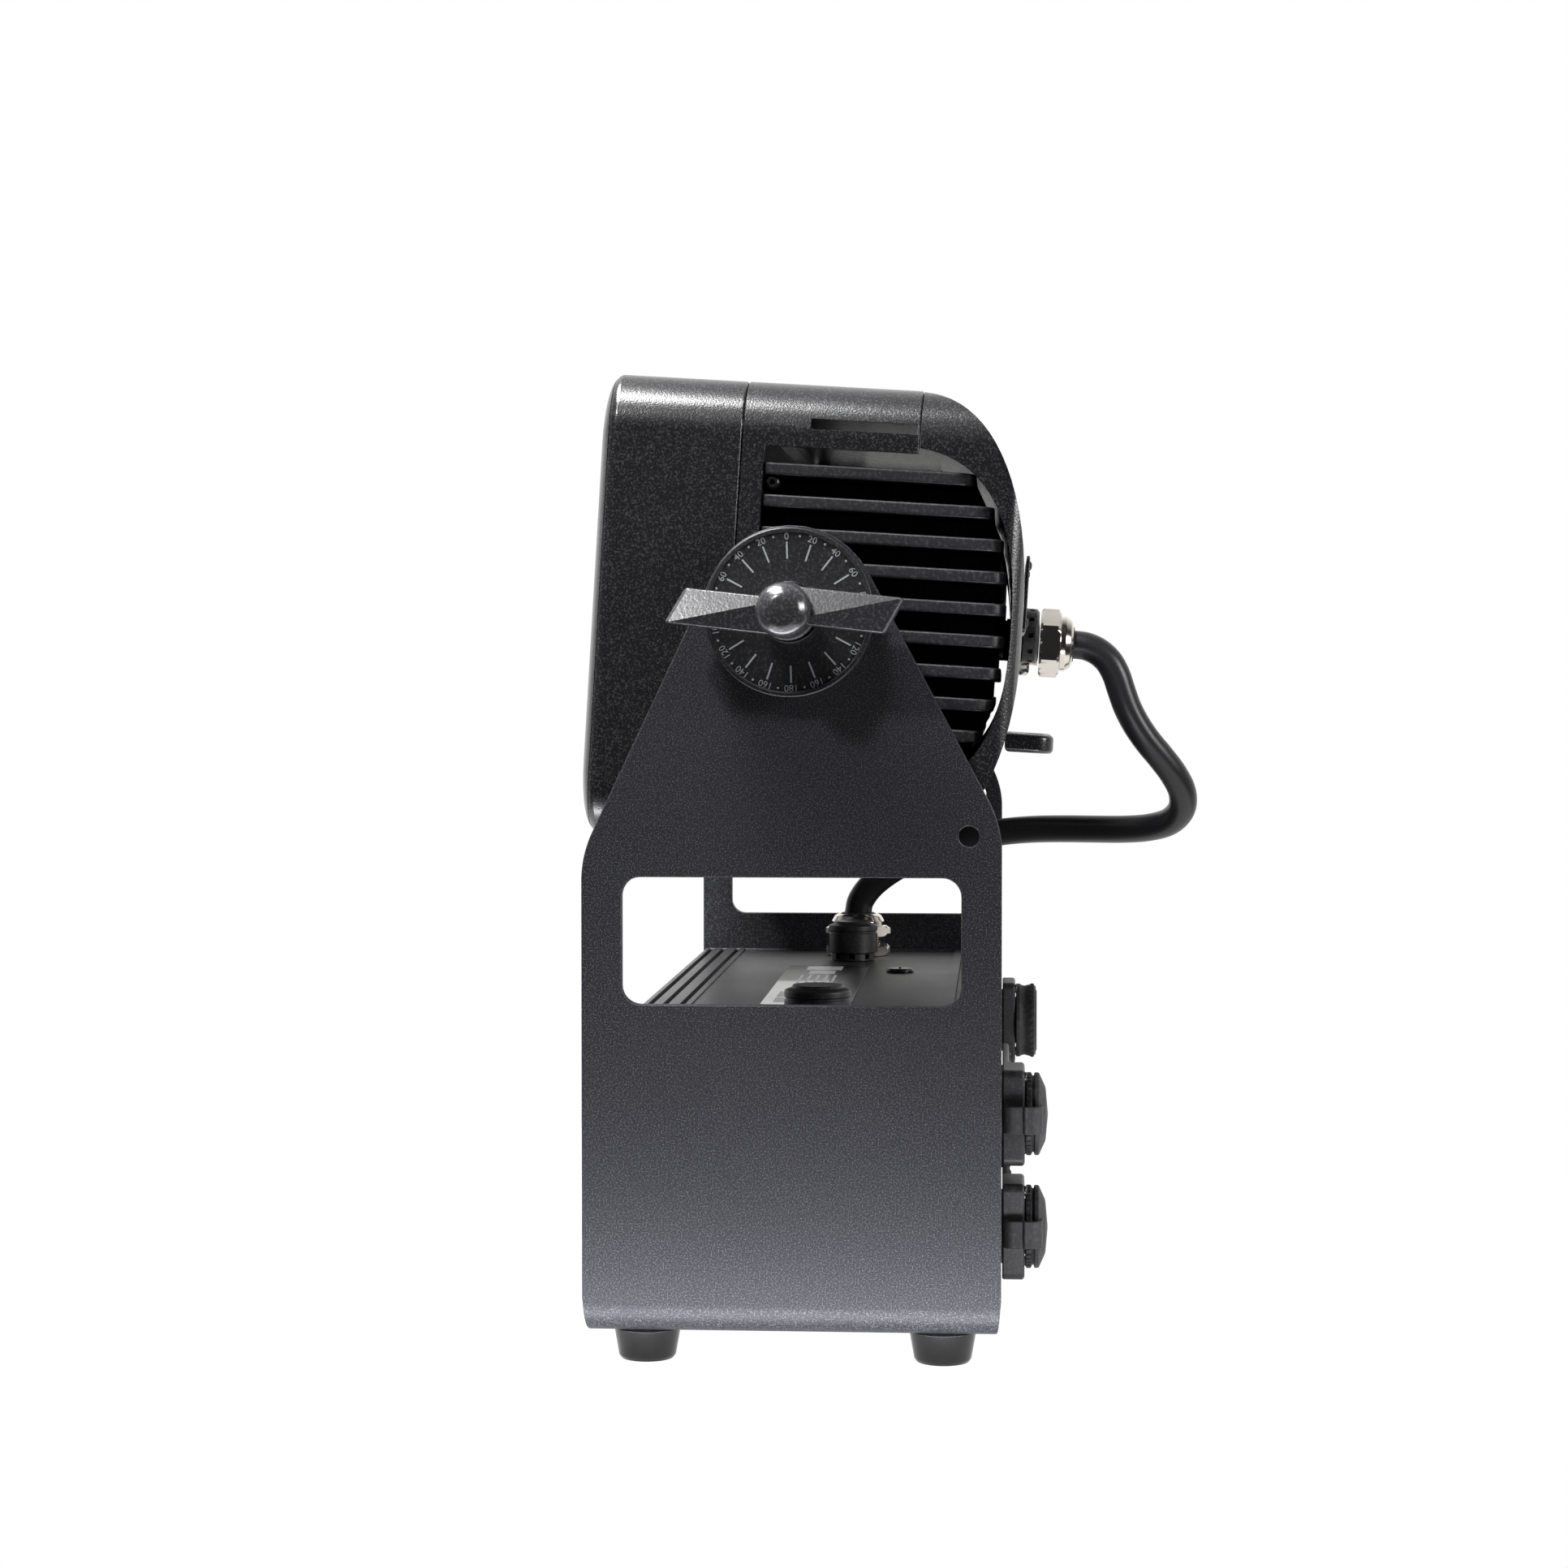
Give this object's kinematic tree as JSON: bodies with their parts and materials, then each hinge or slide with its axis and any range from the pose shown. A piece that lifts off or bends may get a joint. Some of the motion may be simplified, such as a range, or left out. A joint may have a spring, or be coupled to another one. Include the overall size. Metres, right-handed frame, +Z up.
{
  "type": "led wash light",
  "caption": "Weatherproof flood light with a louvred head that tilts in a U yoke, on a driver housing with rear connectors and a link cable",
  "frame": {"origin": "on the ground under the middle of the whole width and depth, 12.6 mm behind the tilt axis", "axes": "+X along the tilt axis to the right seen from the front, +Y to the rear where the connectors are, +Z up; the beam leaves towards -Y"},
  "size_m": [0.4792, 0.2088, 0.3062],
  "materials": {
    "yoke_powder_coat": "satin fine-texture powder coat on bent steel",
    "scale_disc": "satin powder coat with printed light scale marks",
    "housing_coat": "satin black coat on extruded aluminium",
    "cast_black": "fine-texture black paint on die-cast aluminium",
    "fin_black": "black coated aluminium fins",
    "foot_rubber": "smooth moulded rubber",
    "cap_rubber": "matt moulded rubber",
    "cable_sheath": "satin black rubber sheath",
    "black_plastic": "matt moulded nylon",
    "knob_plastic": "semi-gloss moulded plastic",
    "nickel_brass": "nickel plated brass",
    "stud_steel": "turned zinc plated steel",
    "circuit_board": "green solder mask with parts",
    "front_glass": "clear tempered glass",
    "lens_plastic": "clear moulded lenses",
    "display_glass": "dark display window",
    "label_print": "printed label without wording"
  },
  "bodies": {
    "yoke": {"yoke_bracket": "yoke_powder_coat", "foot_front_left": "foot_rubber", "foot_front_right": "foot_rubber", "foot_rear_left": "foot_rubber", "foot_rear_right": "foot_rubber", "driver_housing": "housing_coat", "housing_end_left": "housing_coat", "housing_end_right": "housing_coat", "power_supply": "circuit_board", "driver_board": "circuit_board", "dmx_in_socket": "black_plastic", "dmx_out_socket": "black_plastic", "power_in_socket": "black_plastic", "power_out_socket": "black_plastic", "control_panel": "black_plastic", "display": "display_glass", "control_board": "circuit_board", "box_vent_left": "black_plastic", "box_vent_right": "black_plastic", "blanking_plug": "foot_rubber", "rating_label": "label_print", "box_gland_body": "nickel_brass", "box_gland_nut": "nickel_brass", "box_gland_seal": "cap_rubber", "tilt_scale_right": "scale_disc", "tilt_scale_left": "scale_disc", "link_cable": "cable_sheath"},
    "head": {"front_bezel": "cast_black", "front_glass": "front_glass", "glass_gasket": "cap_rubber", "front_housing": "cast_black", "lens_plate": "lens_plastic", "led_board": "circuit_board", "fin_housing": "cast_black", "rear_cap": "cast_black", "heat_sink": "fin_black", "head_gland_body": "nickel_brass", "head_gland_nut": "nickel_brass", "head_gland_seal": "cap_rubber", "head_vent": "black_plastic", "rear_lug": "cast_black", "rear_plate": "cast_black", "pivot_stud_right": "stud_steel", "pivot_stud_left": "stud_steel"},
    "right_knob": {"wing_knob_right": "knob_plastic"},
    "left_knob": {"wing_knob_left": "knob_plastic"},
    "dmx_in_cover": {"dmx_in_cap": "cap_rubber"},
    "dmx_out_cover": {"dmx_out_cap": "cap_rubber"},
    "power_in_cover": {"power_in_cap": "cap_rubber"},
    "power_out_cover": {"power_out_cap": "cap_rubber"},
    "menu_button": {"button_menu": "cap_rubber"},
    "down_button": {"button_down": "cap_rubber"},
    "up_button": {"button_up": "cap_rubber"},
    "enter_button": {"button_enter": "cap_rubber"}
  },
  "joints": [
    {"name": "head_tilt", "type": "hinge", "parent": "yoke", "child": "head", "pos_m": [0, -0.0126, 0.2313], "axis": [1, 0, 0], "range_deg": [-60, 40]},
    {"name": "right_knob_turn", "type": "hinge", "parent": "head", "child": "right_knob", "pos_m": [0.22, -0.0126, 0.2313], "axis": [1, 0, 0], "range_deg": [0, 180]},
    {"name": "left_knob_turn", "type": "hinge", "parent": "head", "child": "left_knob", "pos_m": [-0.22, -0.0126, 0.2313], "axis": [-1, 0, 0], "range_deg": [0, 180]},
    {"name": "dmx_in_cover_swing", "type": "hinge", "parent": "yoke", "child": "dmx_in_cover", "pos_m": [0.145, 0.0592, 0.0702], "axis": [0, 0, -1], "range_deg": [0, 100]},
    {"name": "dmx_out_cover_swing", "type": "hinge", "parent": "yoke", "child": "dmx_out_cover", "pos_m": [0.145, 0.0592, 0.0334], "axis": [0, 0, -1], "range_deg": [0, 100]},
    {"name": "power_in_cover_pull", "type": "slide", "parent": "yoke", "child": "power_in_cover", "axis": [0, 1, 0], "range_m": [0, 0.016]},
    {"name": "power_out_cover_pull", "type": "slide", "parent": "yoke", "child": "power_out_cover", "axis": [0, 1, 0], "range_m": [0, 0.016]},
    {"name": "menu_button_press", "type": "slide", "parent": "yoke", "child": "menu_button", "axis": [0, -1, 0], "range_m": [0, 0.0012], "stiffness_N_per_m": 600},
    {"name": "down_button_press", "type": "slide", "parent": "yoke", "child": "down_button", "axis": [0, -1, 0], "range_m": [0, 0.0012], "stiffness_N_per_m": 600},
    {"name": "up_button_press", "type": "slide", "parent": "yoke", "child": "up_button", "axis": [0, -1, 0], "range_m": [0, 0.0012], "stiffness_N_per_m": 600},
    {"name": "enter_button_press", "type": "slide", "parent": "yoke", "child": "enter_button", "axis": [0, -1, 0], "range_m": [0, 0.0012], "stiffness_N_per_m": 600}
  ]
}
